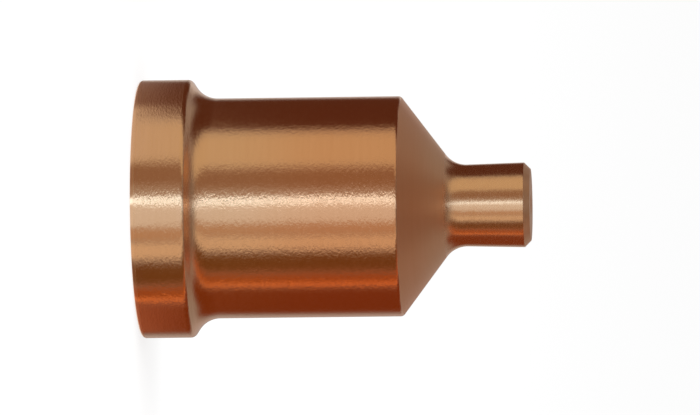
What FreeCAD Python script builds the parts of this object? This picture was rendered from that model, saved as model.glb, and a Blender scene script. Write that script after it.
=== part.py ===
"""Plasma torch nozzle: one turned copper piece, hollow from the seat end to the orifice.

The nozzle stands on its seat face at z = 0, with its axis on +Z and its nose up. Lengths are in
millimetres. From the seat end it has a flange, a concave shoulder, a cylindrical body, a cone and a
slightly flared nose. Inside are a seat bore for the cartridge, a ledge that the cartridge lands on,
the electrode chamber, a front cone that runs parallel to the outer one, a gas passage and the orifice.
"""
import FreeCAD
import Part

import math
import os

# ---------------------------------------------------------------- driving dimensions: outside
OVERALL_LENGTH = 27.2        # seat face to nose face
FLANGE_DIAMETER = 18.0
FLANGE_WIDTH = 3.6           # length of the flange's rim
FLANGE_REAR_CHAMFER = 0.25   # between the seat face and the rim
FLANGE_FRONT_CHAMFER = 0.1   # between the rim and the shoulder
SHOULDER_ANGLE = 57.0        # slope of the shoulder where it leaves the rim, from the axis, in degrees
SHOULDER_RADIUS = 1.8        # concave blend from the shoulder to the body
BODY_DIAMETER = 15.35
BODY_END = 18.2              # height of the edge between body and cone
BODY_EDGE_CHAMFER = 0.1      # along each side of that edge
CONE_HALF_ANGLE = 53.0       # from the axis, in degrees
NOSE_ROOT_DIAMETER = 5.65
NOSE_TIP_DIAMETER = 5.9      # the nose widens slightly towards its face
NOSE_ROOT_RADIUS = 1.8       # concave blend from the cone to the nose
NOSE_CHAMFER = 0.45          # round the nose face

# ---------------------------------------------------------------- driving dimensions: inside
SEAT_DIAMETER = 13.6         # bore that centres the cartridge
SEAT_DEPTH = 2.6             # seat face to ledge
SEAT_LEAD_IN = 0.35          # chamfer at the mouth
LEDGE_WIDTH = 1.2            # radial width of the ledge that the cartridge lands on
LEDGE_EDGE_CHAMFER = 0.1     # between the ledge and the chamber
FRONT_WALL = 1.9             # wall between the chamber's front cone and the outer cone
CHAMBER_RADIUS = 1.0         # blend from the chamber's wall to its front cone
PASSAGE_DIAMETER = 2.4       # gas passage from the chamber into the nose
PASSAGE_CHAMFER = 0.2        # lip where the chamber opens into the passage
DRILL_HALF_ANGLE = 59.0      # cone that the drill leaves at the end of the passage
ORIFICE_DIAMETER = 1.2
ORIFICE_LENGTH = 3.6         # drill cone to nose face
ORIFICE_COUNTERSINK = 0.1    # chamfer at the nose face

PARTS_FOLDER = "parts"
SIDE_SHARE = 0.98            # most of a straight side that the treatments of its two ends may take


def cone_height(radius_drop, half_angle):
    """Height over which a cone of that half angle, in degrees, narrows by radius_drop."""
    return radius_drop / math.tan(math.radians(half_angle))


def outer_corners():
    """Corners of the outside as (radius, height, treatment), from the seat face to the nose face."""
    flange = FLANGE_DIAMETER / 2
    body = BODY_DIAMETER / 2
    nose_root = NOSE_ROOT_DIAMETER / 2
    nose_tip = NOSE_TIP_DIAMETER / 2
    shoulder_end = FLANGE_WIDTH + cone_height(flange - body, SHOULDER_ANGLE)
    cone_end = BODY_END + cone_height(body - nose_root, CONE_HALF_ANGLE)
    return [
        (flange, 0.0, Chamfer(FLANGE_REAR_CHAMFER)),
        (flange, FLANGE_WIDTH, Chamfer(FLANGE_FRONT_CHAMFER)),
        (body, shoulder_end, Round(SHOULDER_RADIUS)),
        (body, BODY_END, Chamfer(BODY_EDGE_CHAMFER)),
        (nose_root, cone_end, Round(NOSE_ROOT_RADIUS)),
        (nose_tip, OVERALL_LENGTH, Chamfer(NOSE_CHAMFER)),
    ]


def inner_corners():
    """Corners of the inside as (radius, height, treatment), from the nose face to the seat face."""
    seat = SEAT_DIAMETER / 2
    chamber = seat - LEDGE_WIDTH
    passage = PASSAGE_DIAMETER / 2
    orifice = ORIFICE_DIAMETER / 2
    # The front cone lies FRONT_WALL inside the outer cone, measured square to both.
    outer_apex = BODY_END + cone_height(BODY_DIAMETER / 2, CONE_HALF_ANGLE)
    front_apex = outer_apex - FRONT_WALL / math.sin(math.radians(CONE_HALF_ANGLE))
    chamber_end = front_apex - cone_height(chamber, CONE_HALF_ANGLE)
    passage_start = front_apex - cone_height(passage, CONE_HALF_ANGLE)
    orifice_start = OVERALL_LENGTH - ORIFICE_LENGTH
    passage_end = orifice_start - cone_height(passage - orifice, DRILL_HALF_ANGLE)
    return [
        (orifice, OVERALL_LENGTH, Chamfer(ORIFICE_COUNTERSINK)),
        (orifice, orifice_start, Sharp()),
        (passage, passage_end, Sharp()),
        (passage, passage_start, Chamfer(PASSAGE_CHAMFER)),
        (chamber, chamber_end, Round(CHAMBER_RADIUS)),
        (chamber, SEAT_DEPTH, Chamfer(LEDGE_EDGE_CHAMFER)),
        (seat, SEAT_DEPTH, Sharp()),
        (seat, 0.0, Chamfer(SEAT_LEAD_IN)),
    ]


class Sharp:
    """A corner left as it is turned."""

    def leg(self, half_opening):
        """Length that the treatment takes from each side of the corner: none."""
        return 0.0

    def edges(self, corner):
        """Edges that the treatment puts at the corner: none."""
        return []


class Chamfer:
    """A corner cut straight across, at the same distance along both sides."""

    def __init__(self, size):
        """Keeps the distance along each side."""
        self.size = size

    def leg(self, half_opening):
        """Length that the cut takes from each side of the corner."""
        return self.size

    def edges(self, corner):
        """The straight cut."""
        return [Part.LineSegment(corner.start(), corner.end()).toShape()]


class Round:
    """A corner blended by an arc that is tangent to both sides."""

    def __init__(self, radius):
        """Keeps the arc's radius."""
        self.radius = radius

    def leg(self, half_opening):
        """Length that the arc takes from each side of the corner."""
        return self.radius / math.tan(half_opening)

    def edges(self, corner):
        """The arc, with the radius that the corner's two legs leave room for."""
        radius = corner.leg * math.tan(corner.half_opening)
        depth = radius / math.sin(corner.half_opening) - radius
        inward = (corner.back + corner.ahead).normalize()
        middle = corner.point + inward * depth
        return [Part.Arc(corner.start(), middle, corner.end()).toShape()]


class Corner:
    """One corner of a closed outline, with the directions of its two sides."""

    def __init__(self, point, before, after, treatment):
        """Keeps where the corner is and the leg that its full treatment takes from each side."""
        self.point = point
        self.back = (before - point).normalize()
        self.ahead = (after - point).normalize()
        self.half_opening = self.back.getAngle(self.ahead) / 2
        self.treatment = treatment
        self.leg = treatment.leg(self.half_opening)

    def start(self):
        """Point where the treatment leaves the side before the corner."""
        return self.point + self.back * self.leg

    def end(self):
        """Point where the treatment meets the side after the corner."""
        return self.point + self.ahead * self.leg


def fitted_corners(outline):
    """Corner objects for an outline of (radius, height, treatment), drawn in the XZ plane.

    Where two treatments would need more than the straight side between them, both get less.
    """
    points = [FreeCAD.Vector(radius, 0.0, height) for radius, height, _ in outline]
    count = len(points)
    corners = []
    for i in range(count):
        corners.append(Corner(points[i], points[i - 1], points[(i + 1) % count], outline[i][2]))
    shares = [1.0] * count
    for i in range(count):
        needed = corners[i - 1].leg + corners[i].leg
        room = SIDE_SHARE * points[i - 1].distanceToPoint(points[i])
        if needed > room:
            shares[i - 1] = min(shares[i - 1], room / needed)
            shares[i] = min(shares[i], room / needed)
    for corner, share in zip(corners, shares):
        corner.leg *= share
    return corners


def profile_wire(outline):
    """Closed wire through an outline's corners, each one treated as the outline says."""
    corners = fitted_corners(outline)
    edges = []
    for corner, following in zip(corners, corners[1:] + corners[:1]):
        edges += corner.treatment.edges(corner)
        edges.append(Part.LineSegment(corner.end(), following.start()).toShape())
    return Part.Wire(edges)


def nozzle():
    """The whole nozzle, turned from one profile that runs up the outside and back down the inside."""
    profile = Part.Face(profile_wire(outer_corners() + inner_corners()))
    foot = FreeCAD.Vector(0, 0, 0)
    axis = FreeCAD.Vector(0, 0, 1)
    return profile.revolve(foot, axis, 360)


def main():
    """Builds the nozzle and writes its STEP file."""
    os.makedirs(PARTS_FOLDER, exist_ok=True)
    shape = nozzle()
    shape.exportStep(os.path.join(PARTS_FOLDER, "nozzle.step"))
    print(f"nozzle: {shape.ShapeType}, valid {shape.isValid()}, volume {shape.Volume:.2f} mm3")


main()
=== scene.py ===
"""Dresses the plasma torch nozzle: its turned copper skin, and the studio that it stands in.

The nozzle stands on its seat face with its nose up, in metres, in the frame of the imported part. The
camera lies on its side, so that the nose points to the right of the picture.
"""
from __future__ import annotations

import logging
import math
from dataclasses import dataclass, field
from enum import Enum

import bpy
from mathutils import Matrix, Vector

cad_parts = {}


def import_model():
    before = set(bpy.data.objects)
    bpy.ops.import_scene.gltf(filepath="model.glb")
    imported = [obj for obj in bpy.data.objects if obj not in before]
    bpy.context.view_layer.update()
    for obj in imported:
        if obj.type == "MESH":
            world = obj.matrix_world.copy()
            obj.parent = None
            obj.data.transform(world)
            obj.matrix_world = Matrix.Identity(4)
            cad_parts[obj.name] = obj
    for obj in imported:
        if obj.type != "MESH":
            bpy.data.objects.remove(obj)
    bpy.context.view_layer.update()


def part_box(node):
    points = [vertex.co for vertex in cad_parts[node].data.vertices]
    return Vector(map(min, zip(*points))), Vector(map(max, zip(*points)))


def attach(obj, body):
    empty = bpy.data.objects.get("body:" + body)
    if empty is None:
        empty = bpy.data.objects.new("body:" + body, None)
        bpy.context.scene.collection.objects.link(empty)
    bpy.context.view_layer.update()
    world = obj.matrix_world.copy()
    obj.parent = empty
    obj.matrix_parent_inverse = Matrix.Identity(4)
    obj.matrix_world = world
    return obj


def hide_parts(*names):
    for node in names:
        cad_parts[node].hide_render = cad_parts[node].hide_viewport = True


LOG = logging.getLogger("nozzle")
MM = 0.001
NODE = "nozzle"
BODY = "root"
MIX_FIRST, MIX_SECOND = 6, 7  # colour inputs of a Mix node
MIX_COLOUR = 2                # its colour output
Colour = tuple[float, float, float]


class Finish(Enum):
    """The finishes that the nozzle's surfaces have, in the order of its material slots."""

    TURNED = 0
    SATIN = 1
    NOSE = 2
    BORED = 3


# ------------------------------------------------------------------------------------ outline
@dataclass(frozen=True)
class Corner:
    """One corner of the turned outline, in millimetres.

    Args:
        radius: Distance from the axis.
        height: Height above the seat face.
        rounding: Radius of the arc that rounds the corner.
        finish: Finish of the surface from this corner to the next one.
    """

    radius: float
    height: float
    rounding: float
    finish: Finish = Finish.TURNED


@dataclass(frozen=True)
class Station:
    """One ring of the turned skin: where it lies and which way its surface faces.

    Args:
        place: Radius and height, in metres.
        facing: Outward unit normal as radius and height.
        finish: Finish of the surface from this ring to the next one.
    """

    place: Vector
    facing: Vector
    finish: Finish


def turned(direction: Vector) -> Vector:
    """Turns a direction of travel along the outline into the way that the surface faces."""
    return Vector((direction.y, -direction.x))


def rounded_stations(corners: list[Corner], step_deg: float) -> list[Station]:
    """Walks round a closed outline and lays rings at the ends of its straights and along its arcs.

    Args:
        corners: Corners in order, up the outside and back down the inside.
        step_deg: Largest turn between two rings of one arc.

    Returns:
        Rings in order, with exact normals, so that arcs and straights meet smoothly.
    """
    points = [Vector((c.radius, c.height)) * MM for c in corners]
    stations: list[Station] = []
    for i, corner in enumerate(corners):
        before = (points[i] - points[i - 1]).normalized()
        after = (points[(i + 1) % len(points)] - points[i]).normalized()
        turn = before.angle_signed(after)
        radius = corner.rounding * MM
        start = points[i] - before * radius * math.tan(abs(turn) / 2)
        side = 1.0 if turn < 0 else -1.0
        centre = start - turned(before) * radius * side
        count = max(2, math.ceil(abs(math.degrees(turn)) / step_deg))
        for k in range(count + 1):
            facing = turned(before)
            facing.rotate(Matrix.Rotation(-turn * k / count, 2))
            hollow = side < 0
            finish = corner.finish if hollow or k == count else corners[i - 1].finish
            stations.append(Station(centre + facing * radius * side, facing, finish))
    return stations


# ------------------------------------------------------------------------------------ nozzle
@dataclass
class TurnedNozzle:
    """The one-piece nozzle, turned from one outline. Lengths are in millimetres.

    Every radius is measured from the axis and every rounding is the radius of a small arc.

    Args:
        length: Seat face to nose face.
        flange_radius: Radius of the flange's rim.
        flange_width: Length of the rim.
        flange_rear_rounding: Between the seat face and the rim.
        flange_front_rounding: Between the rim and the shoulder.
        shoulder_angle: Slope of the shoulder from the axis, in degrees.
        shoulder_rounding: Concave blend from the shoulder to the body.
        body_radius: Radius of the body.
        body_end: Height of the edge between body and cone.
        body_edge_rounding: Rounding of that edge.
        cone_half_angle: Slope of the cone from the axis, in degrees.
        nose_root_radius: Radius of the nose where the cone would meet it.
        nose_root_rounding: Concave blend from the cone to the nose.
        nose_tip_radius: Radius of the nose at its chamfer.
        nose_chamfer: Chamfer round the nose face.
        edge_rounding: Rounding of the other edges.
        lip_rounding: Rounding of the ledge and of the lip where the chamber meets the passage.
        seat_radius: Bore that centres the cartridge.
        seat_depth: Seat face to ledge.
        seat_lead_in: Chamfer at the bore's mouth.
        chamber_radius: Radius of the chamber.
        chamber_rounding: Blend from the chamber's wall to its front cone.
        front_wall: Wall between that cone and the outer one.
        passage_radius: Gas passage from the chamber into the nose.
        drill_half_angle: Slope of the cone that the drill leaves, in degrees.
        orifice_radius: Radius of the orifice.
        orifice_length: Drill cone to nose face.
        orifice_countersink: Chamfer of the orifice at the nose face.
        orifice_rounding: Rounding of that chamfer's edges.
        segments: Faces round the axis.
        arc_step_deg: Largest turn between two rings of an arc.
    """

    length: float
    flange_radius: float
    flange_width: float = 3.6
    flange_rear_rounding: float = 0.28
    flange_front_rounding: float = 0.44
    shoulder_angle: float = 57.0
    shoulder_rounding: float = 1.8
    body_radius: float = 7.675
    body_end: float = 18.2
    body_edge_rounding: float = 0.32
    cone_half_angle: float = 53.0
    nose_root_radius: float = 2.825
    nose_root_rounding: float = 1.8
    nose_tip_radius: float = 2.95
    nose_chamfer: float = 0.45
    edge_rounding: float = 0.07
    lip_rounding: float = 0.14
    seat_radius: float = 6.8
    seat_depth: float = 2.6
    seat_lead_in: float = 0.35
    chamber_radius: float = 5.6
    chamber_rounding: float = 1.0
    front_wall: float = 1.9
    passage_radius: float = 1.2
    drill_half_angle: float = 59.0
    orifice_radius: float = 0.6
    orifice_length: float = 3.6
    orifice_countersink: float = 0.1
    orifice_rounding: float = 0.025
    segments: int = 288
    arc_step_deg: float = 6.0

    def fall(self, radius_drop: float, half_angle: float) -> float:
        """Returns the height over which a cone of that half angle narrows by radius_drop."""
        return radius_drop / math.tan(math.radians(half_angle))

    def outside(self) -> list[Corner]:
        """Returns the outline's corners from the seat face to the nose face."""
        shoulder_drop = self.flange_radius - self.body_radius
        shoulder_end = self.flange_width + self.fall(shoulder_drop, self.shoulder_angle)
        cone_drop = self.body_radius - self.nose_root_radius
        cone_end = self.body_end + self.fall(cone_drop, self.cone_half_angle)
        chamfer = self.nose_chamfer
        return [
            Corner(self.flange_radius, 0.0, self.flange_rear_rounding),
            Corner(self.flange_radius, self.flange_width, self.flange_front_rounding),
            Corner(self.body_radius, shoulder_end, self.shoulder_rounding),
            Corner(self.body_radius, self.body_end, self.body_edge_rounding, Finish.SATIN),
            Corner(self.nose_root_radius, cone_end, self.nose_root_rounding, Finish.NOSE),
            Corner(self.nose_tip_radius, self.length - chamfer, self.edge_rounding, Finish.SATIN),
            Corner(self.nose_tip_radius - chamfer, self.length, self.edge_rounding, Finish.SATIN),
        ]

    def inside(self) -> list[Corner]:
        """Returns the outline's corners from the nose face back to the seat face."""
        edge = self.edge_rounding
        outer_apex = self.body_end + self.fall(self.body_radius, self.cone_half_angle)
        front_apex = outer_apex - self.front_wall / math.sin(math.radians(self.cone_half_angle))
        chamber_end = front_apex - self.fall(self.chamber_radius, self.cone_half_angle)
        passage_start = front_apex - self.fall(self.passage_radius, self.cone_half_angle)
        orifice_start = self.length - self.orifice_length
        drop = self.passage_radius - self.orifice_radius
        passage_end = orifice_start - self.fall(drop, self.drill_half_angle)
        sink = self.orifice_countersink
        mouth = self.seat_radius + self.seat_lead_in
        return [
            Corner(self.orifice_radius + sink, self.length, self.orifice_rounding, Finish.BORED),
            Corner(self.orifice_radius, self.length - sink, self.orifice_rounding, Finish.BORED),
            Corner(self.orifice_radius, orifice_start, edge, Finish.BORED),
            Corner(self.passage_radius, passage_end, edge, Finish.BORED),
            Corner(self.passage_radius, passage_start, self.lip_rounding, Finish.BORED),
            Corner(self.chamber_radius, chamber_end, self.chamber_rounding, Finish.BORED),
            Corner(self.chamber_radius, self.seat_depth, edge, Finish.BORED),
            Corner(self.seat_radius, self.seat_depth, self.lip_rounding, Finish.BORED),
            Corner(self.seat_radius, self.seat_lead_in, edge, Finish.BORED),
            Corner(mouth, 0.0, edge, Finish.SATIN),
        ]

    def mesh(self) -> bpy.types.Mesh:
        """Returns the skin: the outline's rings swept round the axis, with exact normals."""
        stations = rounded_stations(self.outside() + self.inside(), self.arc_step_deg)
        turns = [math.tau * k / self.segments for k in range(self.segments)]
        spots, facings = [], []
        for s in stations:
            for a in turns:
                spots.append((s.place.x * math.cos(a), s.place.x * math.sin(a), s.place.y))
                facings.append((s.facing.x * math.cos(a), s.facing.x * math.sin(a), s.facing.y))
        faces, finishes = [], []
        for i, s in enumerate(stations):
            low, high = i * self.segments, (i + 1) % len(stations) * self.segments
            for k in range(self.segments):
                n = (k + 1) % self.segments
                faces.append((low + k, low + n, high + n, high + k))
                finishes.append(s.finish.value)
        mesh = bpy.data.meshes.new("turned_nozzle")
        mesh.from_pydata(spots, [], faces)
        mesh.polygons.foreach_set("material_index", finishes)
        mesh.polygons.foreach_set("use_smooth", [True] * len(faces))
        mesh.normals_split_custom_set_from_vertices(facings)
        mesh.validate()
        return mesh

    def build(self, coppers: list[bpy.types.Material]) -> bpy.types.Object:
        """Makes the skin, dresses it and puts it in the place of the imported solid.

        Args:
            coppers: One material for each finish, in the order of Finish.

        Returns:
            The nozzle's object.
        """
        skin = bpy.data.objects.new("turned_nozzle", self.mesh())
        bpy.context.scene.collection.objects.link(skin)
        for copper in coppers:
            skin.data.materials.append(copper)
        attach(skin, BODY)
        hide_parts(NODE)
        return skin


# ------------------------------------------------------------------------------------ finishes
class NodeTree:
    """A short way to write a node tree: nodes are added, set and joined in one call."""

    def __init__(self, tree: bpy.types.NodeTree) -> None:
        """Keeps the tree and empties it."""
        self.tree = tree
        self.tree.nodes.clear()

    def add(self, kind: str, settings: dict | None = None, **inputs: object) -> bpy.types.Node:
        """Adds one node.

        Args:
            kind: The node's type, without its ShaderNode prefix.
            settings: The node's own properties.
            **inputs: Values or output sockets by input name, with _ for a space, or i0, i1 by place.

        Returns:
            The node.
        """
        node = self.tree.nodes.new(kind if kind.startswith("Node") else "ShaderNode" + kind)
        for name, value in (settings or {}).items():
            setattr(node, name, value)
        for name, value in inputs.items():
            place = name[1:].isdigit() and name[0] == "i"
            socket = node.inputs[int(name[1:]) if place else name.replace("_", " ")]
            if isinstance(value, bpy.types.NodeSocket):
                self.tree.links.new(value, socket)
            else:
                socket.default_value = value
        return node

    def math(self, operation: str, *terms: object) -> bpy.types.NodeSocket:
        """Adds a Math node on one, two or three terms and returns its output."""
        inputs = {f"i{k}": term for k, term in enumerate(terms)}
        return self.add("Math", {"operation": operation}, **inputs).outputs[0]


def lathe_marks_group() -> bpy.types.NodeTree:
    """Makes the node group for the marks that a lathe tool leaves round the axis.

    Returns:
        A group with the inputs Fineness (marks for each metre) and Drift (how often a mark changes
        on its way round), and the output Marks, from 0 to 1.
    """
    group = bpy.data.node_groups.new("lathe_marks", "ShaderNodeTree")
    for name, value in (("Fineness", 7000.0), ("Drift", 20.0)):
        socket = group.interface.new_socket(name, in_out="INPUT", socket_type="NodeSocketFloat")
        socket.default_value = value
    group.interface.new_socket("Marks", in_out="OUTPUT", socket_type="NodeSocketFloat")
    t = NodeTree(group)
    given = t.add("NodeGroupInput").outputs
    place = t.add("TexCoord").outputs["Object"]
    parts = t.add("SeparateXYZ", Vector=place).outputs
    flat = t.add("CombineXYZ", X=parts["X"], Y=parts["Y"], Z=0.0).outputs[0]
    reach = t.add("VectorMath", {"operation": "LENGTH"}, i0=flat).outputs["Value"]
    heading = t.add("VectorMath", {"operation": "NORMALIZE"}, i0=flat).outputs[0]
    around = t.add("SeparateXYZ", Vector=heading).outputs
    across = t.math("MULTIPLY", reach, given["Fineness"])
    along = t.math("MULTIPLY", parts["Z"], given["Fineness"])
    drift_x = t.math("MULTIPLY", around["X"], given["Drift"])
    drift_y = t.math("MULTIPLY", around["Y"], given["Drift"])
    ring = t.add("CombineXYZ", X=across, Y=along, Z=drift_x).outputs[0]
    marks = t.add("TexNoise", {"noise_dimensions": "4D"}, Vector=ring, W=drift_y, Scale=1.0,
                  Detail=2.0, Roughness=0.6).outputs[0]
    t.add("NodeGroupOutput", Marks=marks)
    return group


@dataclass(frozen=True)
class Cut:
    """One size of lathe mark.

    Args:
        fineness: Marks for each metre.
        drift: How often a mark changes on its way round.
        depth: Depth of the marks, in metres.
    """

    fineness: float
    drift: float
    depth: float


@dataclass(frozen=True)
class Copper:
    """One finish of the nozzle's copper.

    Args:
        name: The material's name.
        pale: Linear colour of the clean crests of the turning marks.
        deep: Linear colour of their valleys, where the copper has browned.
        roughness: Mean roughness of the surface.
        unevenness: How far the roughness wanders with the marks.
        pull: Anisotropy: how much the marks smear a reflection along the axis.
        rings: The long marks that run round the nozzle.
        nicks: The short bright marks that sparkle.
        painted_reflection_tint: Linear tint multiplied into the copper, a painted reflection tint
            that makes the body darker and redder than the flange, for the warmer light it mirrors.
        painted_tint_from: Height at which the tint sets in, in metres.
        painted_tint_to: Height at which it is full, in metres.
        fade_from: Height at which it starts to fade, in metres.
        fade_to: Height at which it is gone, in metres.
        smooth_mark: Value of the marks at which the surface is smoothest.
        rough_mark: Value of the marks at which it is roughest.
        pull_turn: Turn of the smear from the way round to the way along, in whole turns.
    """

    name: str
    pale: Colour = (0.95, 0.57, 0.34)
    deep: Colour = (0.90, 0.52, 0.29)
    roughness: float = 0.20
    unevenness: float = 0.05
    pull: float = 0.8
    rings: Cut = Cut(3600.0, 1.5, 5.0e-6)
    nicks: Cut = Cut(8000.0, 36.0, 15.0e-6)
    # Painted reflection tint: between the two heights the copper is made darker and redder, standing
    # in for the warmer light that the body mirrors compared with the flange.
    painted_reflection_tint: Colour = (1.0, 0.88, 0.82)
    painted_tint_from: float = 0.006
    painted_tint_to: float = 0.014
    fade_from: float = 0.019
    fade_to: float = 0.021
    smooth_mark: float = 0.3
    rough_mark: float = 0.7
    pull_turn: float = 0.25

    def marked(self, t: NodeTree, marks: bpy.types.NodeTree, cut: Cut) -> bpy.types.NodeSocket:
        """Adds the group of lathe marks for one size of mark and returns its output."""
        inputs = {"Fineness": cut.fineness, "Drift": cut.drift}
        return t.add("Group", {"node_tree": marks}, **inputs).outputs[0]

    def colour(self, t: NodeTree, rings: bpy.types.NodeSocket) -> bpy.types.NodeSocket:
        """Adds the copper's colour: pale crests, brown valleys and a painted reflection tint."""
        tone = t.add("Mix", {"data_type": "RGBA"}, i0=rings)
        tone.inputs[MIX_FIRST].default_value = (*self.deep, 1.0)
        tone.inputs[MIX_SECOND].default_value = (*self.pale, 1.0)
        place = t.add("TexCoord").outputs["Object"]
        along = t.add("SeparateXYZ", Vector=place).outputs["Z"]
        smoothly = {"interpolation_type": "SMOOTHSTEP"}
        # Painted reflection tint: the share rises along the body and falls at the cone, and
        # multiplies a darker, redder tint into the copper.
        tint_rise = t.add("MapRange", smoothly, i0=along, i1=self.painted_tint_from, i2=self.painted_tint_to)
        tint_fall = t.add("MapRange", smoothly, i0=along, i1=self.fade_from, i2=self.fade_to,
                       i3=1.0, i4=0.0)
        painted_tint_share = t.math("MULTIPLY", tint_rise.outputs[0], tint_fall.outputs[0])
        tinted = t.add("Mix", {"data_type": "RGBA", "blend_type": "MULTIPLY"}, i0=painted_tint_share)
        t.tree.links.new(tone.outputs[MIX_COLOUR], tinted.inputs[MIX_FIRST])
        tinted.inputs[MIX_SECOND].default_value = (*self.painted_reflection_tint, 1.0)
        return tinted.outputs[MIX_COLOUR]

    def material(self, marks: bpy.types.NodeTree) -> bpy.types.Material:
        """Returns the finish as a material that uses the group of lathe marks."""
        made = bpy.data.materials.new(self.name)
        made.use_nodes = True
        t = NodeTree(made.node_tree)
        rings = self.marked(t, marks, self.rings)
        nicks = self.marked(t, marks, self.nicks)
        low, high = self.roughness - self.unevenness, self.roughness + self.unevenness
        rough = t.add("MapRange", i0=nicks, i1=self.smooth_mark, i2=self.rough_mark,
                      i3=low, i4=high).outputs[0]
        nicked = t.add("Bump", Height=nicks, Distance=self.nicks.depth).outputs[0]
        ringed = t.add("Bump", Height=rings, Distance=self.rings.depth, Normal=nicked)
        tangent = t.add("Tangent", {"direction_type": "RADIAL", "axis": "Z"}).outputs[0]
        skin = t.add("BsdfPrincipled", Base_Color=self.colour(t, rings), Metallic=1.0,
                     Roughness=rough, Anisotropic=self.pull, Anisotropic_Rotation=self.pull_turn,
                     Normal=ringed.outputs[0], Tangent=tangent)
        t.add("OutputMaterial", Surface=skin.outputs[0])
        return made


# ------------------------------------------------------------------------------------ studio
@dataclass(frozen=True)
class Card:
    """One reflector or flag of the tent, seen only in the copper.

    Args:
        name: What it is; not used.
        bearing: Azimuth of its middle, in degrees from the camera, positive above the nozzle in
            the picture.
        half_width: Half of its width, in degrees.
        softness: Width of the fade at each side, in degrees.
        light: Linear colour that it sends back.
        top: Elevation up to which it reaches, in degrees.
        fade: Height of the fade at its top, in degrees.
    """

    name: str
    bearing: float
    half_width: float
    softness: float
    light: Colour
    top: float = 62.0
    fade: float = 18.0

    def cover(self, bearing: float, elevation: float) -> float:
        """Returns how much of the light at that direction is this card's, from 0 to 1."""
        off = abs((bearing - self.bearing + 180.0) % 360.0 - 180.0) - self.half_width
        beside = smooth(0.5 - off / self.softness)
        return beside * smooth(0.5 - (elevation - self.top) / self.fade)


def smooth(value: float) -> float:
    """Returns a smooth step from 0 to 1 as value goes from 0 to 1."""
    held = min(1.0, max(0.0, value))
    return held * held * (3.0 - 2.0 * held)


def blend(a: Colour, b: Colour, share: float) -> Colour:
    """Returns the colour that lies that share of the way from a to b."""
    return tuple(x + (y - x) * share for x, y in zip(a, b))


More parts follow.
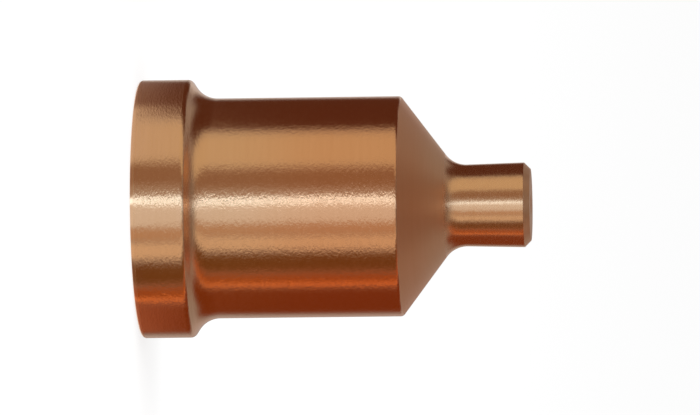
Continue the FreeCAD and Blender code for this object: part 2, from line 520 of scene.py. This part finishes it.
@dataclass
class ReflectionTent:
    """The light tent round the nozzle, whose cards the copper mirrors. Lengths are in metres.

    Args:
        foot: Radius of the flange, where the tent's floor cloth begins.
        middle: Height that elevations are counted from.
        reach: Distance of the tent's wall from the flange.
        lift: Height of the floor cloth over the floor.
        gap: Distance from the flange at which the cloth begins, just under its edge.
        wall: Linear colour of the wall between the cards.
        roof: Linear colour of the roof.
        front_roof: Linear colour of the roof's side towards the camera.
        front_sharpness: How fast the one roof colour gives way to the other.
        roof_from: Sine of the elevation at which the roof begins.
        roof_fade: Rise of that sine over which the wall turns into the roof.
        near: Distance over which the near cards fade, along the floor cloth.
        cloth_steps: Places of the cloth's rings as shares of the way from the flange to the wall.
        wall_step_deg: Elevation between two rings of the wall and the roof.
        cards: Cards that stand on the wall.
        near_cards: Cards that lie on the floor cloth by the flange.
    """

    foot: float
    middle: float
    reach: float = 0.16
    lift: float = 0.00001
    gap: float = -0.0002
    wall: Colour = (0.31, 0.29, 0.28)
    roof: Colour = (0.178, 0.088, 0.050)
    front_roof: Colour = (0.20, 0.20, 0.20)
    front_sharpness: float = 1.5
    roof_from: float = 0.8
    roof_fade: float = 0.18
    near: float = 0.045
    cloth_steps: tuple[float, ...] = (0.0, 0.05, 0.1, 0.15, 0.2, 0.3, 0.5, 1.0)
    wall_step_deg: float = 2.5
    cards: list[Card] = field(default_factory=lambda: [
        Card("upper_back", 170.0, 8.0, 8.0, (0.55, 0.52, 0.50), 20.0, 20.0),
        Card("lower_back", -168.0, 11.0, 10.0, (0.42, 0.36, 0.33), 20.0, 20.0),
        Card("upper_flag", 126.0, 34.0, 14.0, (0.090, 0.030, 0.014), 26.0, 16.0),
        Card("upper_screen", 115.0, 22.0, 14.0, (0.090, 0.030, 0.014), 52.0, 16.0),
        Card("upper_window", 64.0, 22.0, 18.0, (0.56, 0.49, 0.35)),
        Card("upper_gap", 28.0, 14.0, 10.0, (0.265, 0.170, 0.110)),
        Card("key_window", -2.5, 15.0, 10.0, (0.66, 0.71, 0.74)),
        Card("key_haze", 17.0, 4.0, 8.0, (0.36, 0.31, 0.27), 84.0, 10.0),
        Card("key_strip", 7.4, 2.8, 3.0, (1.3, 1.8, 2.3), 84.0, 10.0),
        Card("lower_gap", -22.5, 5.5, 6.0, (0.46, 0.33, 0.23)),
        Card("lower_window", -38.0, 7.5, 8.0, (0.63, 0.54, 0.42)),
        Card("lower_flag", -61.0, 12.0, 12.0, (0.145, 0.060, 0.014)),
        Card("warm_board", -83.0, 10.0, 12.0, (0.30, 0.080, 0.015)),
        Card("warm_strip", -89.0, 2.2, 4.0, (0.85, 0.30, 0.10)),
        Card("floor_flag", -122.0, 27.0, 16.0, (0.178, 0.038, 0.005), 26.0, 16.0),
        Card("floor_screen", -115.0, 20.0, 14.0, (0.178, 0.038, 0.005), 52.0, 16.0),
    ])
    near_cards: list[Card] = field(default_factory=lambda: [
        Card("upper_haze", 130.0, 32.0, 12.0, (0.24, 0.17, 0.15)),
        Card("upper_apron", 74.0, 31.0, 14.0, (0.57, 0.52, 0.46)),
        Card("lower_haze", -118.0, 26.0, 16.0, (0.32, 0.11, 0.06)),
    ])

    def light(self, bearing: float, elevation: float, away: float) -> Colour:
        """Returns the light that the tent sends from one of its points.

        Args:
            bearing: Azimuth of the point, in degrees.
            elevation: Its elevation, in degrees, and 0 on the floor cloth.
            away: Its distance from the flange.
        """
        up, round_it = math.radians(elevation), math.radians(bearing)
        ahead = smooth(0.5 + self.front_sharpness * math.cos(up) * math.cos(round_it))
        overhead = smooth((math.sin(up) - self.roof_from) / self.roof_fade)
        shown = blend(self.wall, blend(self.roof, self.front_roof, ahead), overhead)
        for card in self.cards:
            shown = blend(shown, card.light, card.cover(bearing, elevation))
        close = smooth(1.0 - away / self.near)
        for card in self.near_cards:
            shown = blend(shown, card.light, close * card.cover(bearing, elevation))
        return shown

    def rings(self) -> list[tuple[float, float, float]]:
        """Returns the tent's rings as (distance, height, elevation), from the flange to the roof."""
        across = self.reach - self.gap
        laid = [(self.gap + across * share, self.lift, 0.0) for share in self.cloth_steps]
        for k in range(round(90.0 / self.wall_step_deg) + 1):
            elevation = self.wall_step_deg * k
            away = self.reach * math.cos(math.radians(elevation))
            high = self.middle + self.reach * math.sin(math.radians(elevation))
            laid.append((away, high, elevation))
        return laid

    def build(self) -> bpy.types.Object:
        """Makes the tent, which only reflections see.

        Each line of the tent leaves the flange at half its bearing, because that is where a
        bright cylinder turns the view towards it.
        """
        bearings = [float(k) for k in range(-180, 181)]
        spots, lights = [], []
        for away, high, elevation in self.rings():
            for bearing in bearings:
                half, full = math.radians(bearing / 2), math.radians(bearing)
                foot = self.foot * math.cos(math.radians(elevation))
                x = -foot * math.sin(half) - away * math.sin(full)
                y = -foot * math.cos(half) - away * math.cos(full)
                spots.append((x, y, high))
                lights.append((*self.light(bearing, elevation, away), 1.0))
        faces = []
        count = len(bearings)
        for i in range(len(spots) // count - 1):
            for k in range(count):
                a, b = i * count + k, i * count + (k + 1) % count
                faces.append((a, b, b + count, a + count))
        mesh = bpy.data.meshes.new("reflection_tent")
        mesh.from_pydata(spots, [], faces)
        paint = mesh.color_attributes.new("light", "FLOAT_COLOR", "POINT")
        paint.data.foreach_set("color", [share for light in lights for share in light])
        tent = bpy.data.objects.new("reflection_tent", mesh)
        bpy.context.scene.collection.objects.link(tent)
        cloth = bpy.data.materials.new("tent_cloth")
        cloth.use_nodes = True
        t = NodeTree(cloth.node_tree)
        shown = t.add("Attribute", {"attribute_name": "light"}).outputs["Color"]
        glow = t.add("Emission", Color=shown, Strength=1.0)
        t.add("OutputMaterial", Surface=glow.outputs[0])
        cloth.cycles.emission_sampling = "NONE"
        mesh.materials.append(cloth)
        tent.visible_camera = False
        tent.visible_diffuse = False
        tent.visible_shadow = False
        return tent


@dataclass
class Studio:
    """The pale floor, the white surroundings, one soft lamp and the camera. Lengths in metres.

    Args:
        centre: Middle of the nozzle.
        floor_half: Half of the floor's width.
        floor_white: Reflectance of the floor.
        floor_glow: Share of the floor that is plain white instead of lit.
        lamp_size: Width of the lamp.
        lamp_power: Power of the lamp, in watts.
        lamp_place: Place of the lamp.
        distance: Camera to the point that it looks at.
        elevation: Height of the camera over the level, in degrees.
        aim_along: Shift of that point from the middle, along the nozzle.
        aim_across: Shift of that point across the nozzle.
        roll_deg: Turn of the nozzle in the picture, in degrees.
        picture_width: Width that the picture takes in.
        sensor: Width of the camera's sensor, in millimetres.
    """

    centre: Vector
    floor_half: float = 12.0
    floor_white: float = 0.9
    floor_glow: float = 0.72
    lamp_size: float = 0.5
    lamp_power: float = 3.0
    lamp_place: tuple[float, float, float] = (-0.35, -0.25, 0.7)
    distance: float = 0.55
    elevation: float = 3.9
    aim_along: float = 0.00097
    aim_across: float = -0.000032
    roll_deg: float = 0.68
    picture_width: float = 0.0488
    sensor: float = 36.0

    def floor(self) -> bpy.types.Object:
        """Makes the floor: white from above, open from below, and shaded softly by the nozzle."""
        h = self.floor_half
        mesh = bpy.data.meshes.new("floor")
        mesh.from_pydata([(-h, -h, 0), (h, -h, 0), (h, h, 0), (-h, h, 0)], [], [(0, 1, 2, 3)])
        floor = bpy.data.objects.new("floor", mesh)
        bpy.context.scene.collection.objects.link(floor)
        paint = bpy.data.materials.new("floor_paint")
        paint.use_nodes = True
        t = NodeTree(paint.node_tree)
        lit = t.add("BsdfDiffuse", Color=(self.floor_white,) * 3 + (1.0,))
        glow = t.add("Emission", Color=(1.0, 1.0, 1.0, 1.0), Strength=1.0)
        shown = t.add("MixShader", i0=self.floor_glow, i1=lit.outputs[0], i2=glow.outputs[0])
        under = t.add("NewGeometry").outputs["Backfacing"]
        clear = t.add("BsdfTransparent").outputs[0]
        both = t.add("MixShader", i0=under, i1=shown.outputs[0], i2=clear)
        t.add("OutputMaterial", Surface=both.outputs[0])
        mesh.materials.append(paint)
        return floor

    def surroundings(self) -> None:
        """Makes the world plain white."""
        world = bpy.data.worlds.new("white_room")
        bpy.context.scene.world = world
        world.use_nodes = True
        t = NodeTree(world.node_tree)
        white = t.add("Background", Color=(1.0, 1.0, 1.0, 1.0), Strength=1.0)
        t.add("OutputWorld", Surface=white.outputs[0])

    def lamp(self) -> bpy.types.Object:
        """Makes the soft lamp over the floor."""
        data = bpy.data.lights.new("soft_lamp", "AREA")
        data.size = self.lamp_size
        data.energy = self.lamp_power
        lamp = bpy.data.objects.new("soft_lamp", data)
        bpy.context.scene.collection.objects.link(lamp)
        lamp.location = self.lamp_place
        back = Vector(self.lamp_place) - self.centre
        lamp.rotation_mode = "QUATERNION"
        lamp.rotation_quaternion = back.to_track_quat("Z", "Y")
        lamp.visible_glossy = False
        return lamp

    def camera(self) -> bpy.types.Object:
        """Makes the camera, which looks along +Y with the nozzle's nose to its right."""
        data = bpy.data.cameras.new("camera")
        data.sensor_width = self.sensor
        data.lens = self.sensor * self.distance / self.picture_width
        data.clip_start = 0.01
        data.clip_end = 100.0
        camera = bpy.data.objects.new("camera", data)
        bpy.context.scene.collection.objects.link(camera)
        up = math.radians(self.elevation)
        back = Vector((0.0, -math.cos(up), math.sin(up)))
        roll = math.radians(self.roll_deg)
        nose_way = (Vector((0.0, 0.0, 1.0)) - back * back.z).normalized()
        upward = back.cross(nose_way)
        right = nose_way * math.cos(roll) - upward * math.sin(roll)
        over = back.cross(right)
        target = self.centre + right * self.aim_along + over * self.aim_across
        turn = Matrix((right, over, back)).transposed()
        camera.matrix_world = Matrix.Translation(target + back * self.distance) @ turn.to_4x4()
        bpy.context.scene.camera = camera
        return camera

    def build(self) -> None:
        """Makes the whole studio."""
        self.floor()
        self.surroundings()
        self.lamp()
        self.camera()
        bpy.context.scene.view_settings.view_transform = "Standard"


def main() -> None:
    """Builds the nozzle and its studio."""
    logging.basicConfig(level=logging.INFO, format="%(name)s: %(message)s")
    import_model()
    low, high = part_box(NODE)
    marks = lathe_marks_group()
    finishes = {
        Finish.TURNED: Copper("turned_copper"),
        Finish.SATIN: Copper("satin_copper", roughness=0.36, unevenness=0.03, pull=0.1,
                             rings=Cut(3600.0, 1.5, 0.8e-6), nicks=Cut(7000.0, 26.0, 1.5e-6)),
        Finish.NOSE: Copper("nose_copper", roughness=0.26, nicks=Cut(8000.0, 14.0, 7.0e-6)),
        Finish.BORED: Copper("bored_copper", roughness=0.36, unevenness=0.06, pull=0.6),
    }
    coppers = [finishes[finish].material(marks) for finish in Finish]
    nozzle = TurnedNozzle(length=(high.z - low.z) / MM, flange_radius=high.x / MM)
    skin = nozzle.build(coppers)
    LOG.info("%s: %d faces in %d finishes", skin.name, len(skin.data.polygons), len(coppers))
    centre = Vector((0.0, 0.0, high.z / 2))
    tent = ReflectionTent(foot=high.x, middle=centre.z).build()
    LOG.info("%s: %d faces", tent.name, len(tent.data.polygons))
    Studio(centre).build()
    LOG.info("studio: floor, lamp and camera")


if __name__ == "__main__":
    main()
